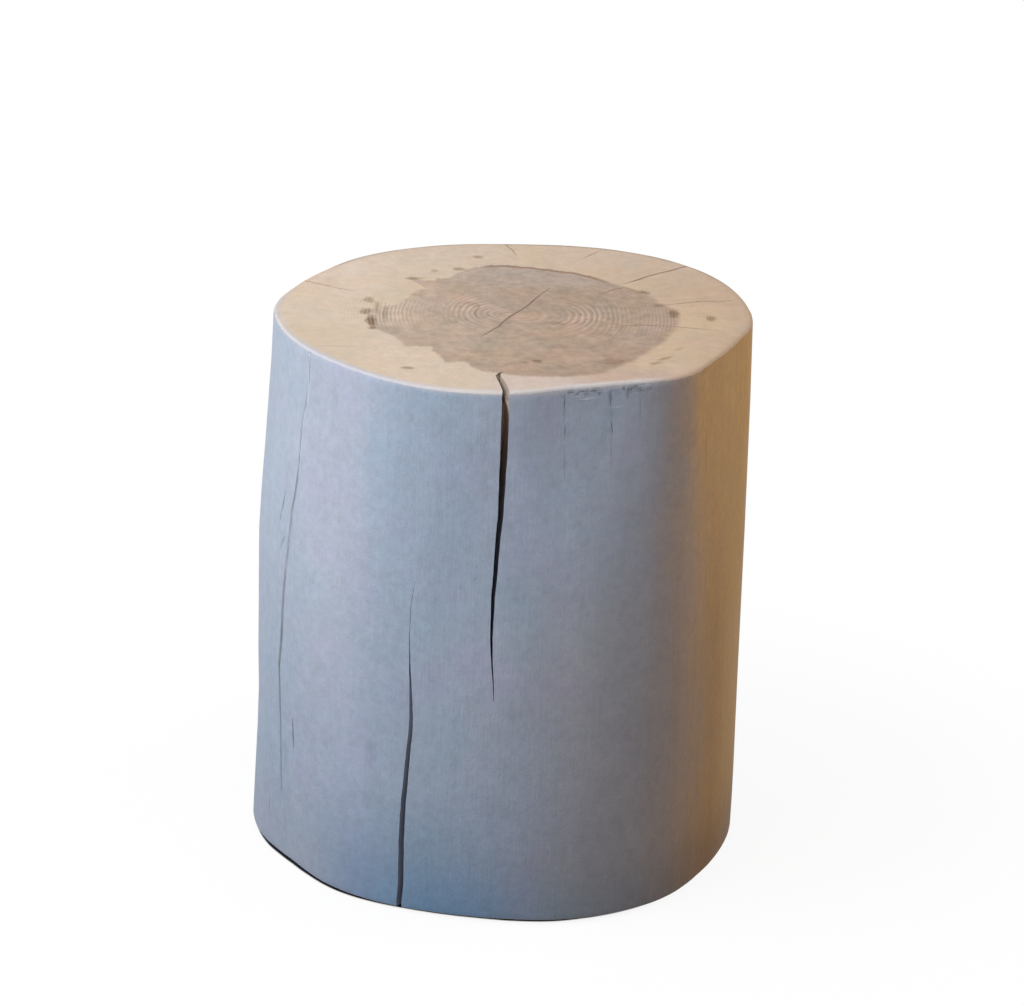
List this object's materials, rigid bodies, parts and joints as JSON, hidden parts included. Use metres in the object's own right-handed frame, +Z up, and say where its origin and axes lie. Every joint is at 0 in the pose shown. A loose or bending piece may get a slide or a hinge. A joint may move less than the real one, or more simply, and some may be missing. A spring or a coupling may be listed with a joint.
{
  "type": "block stool",
  "caption": "Round stool made of one solid debarked log, with a flat bare wood seat, a pale blue-grey washed side, drying cracks and felt glides.",
  "frame": {"origin": "on the floor, under the middle of the stool's outline seen from above", "axes": "+Z up along the log; -Y towards the side with the wide crack that runs down from the seat; +X to that side's right"},
  "size_m": [0.3918, 0.3698, 0.444],
  "materials": {
    "bare_wood": "bare sanded end grain, matte, cream sapwood round grey-brown heartwood",
    "side_wash": "thin matte blue-grey wash over wood, worn warm brown on one side",
    "glide_plate": "dark moulded plastic",
    "glide_nail": "drawn steel nail",
    "glide_felt": "pressed grey-brown felt"
  },
  "bodies": {
    "root": {"log_block": "bare_wood", "side_coat": "side_wash", "glide_plate_1": "glide_plate", "glide_nail_1": "glide_nail", "felt_pad_1": "glide_felt", "glide_plate_2": "glide_plate", "glide_nail_2": "glide_nail", "felt_pad_2": "glide_felt", "glide_plate_3": "glide_plate", "glide_nail_3": "glide_nail", "felt_pad_3": "glide_felt", "glide_plate_4": "glide_plate", "glide_nail_4": "glide_nail", "felt_pad_4": "glide_felt"}
  },
  "joints": []
}
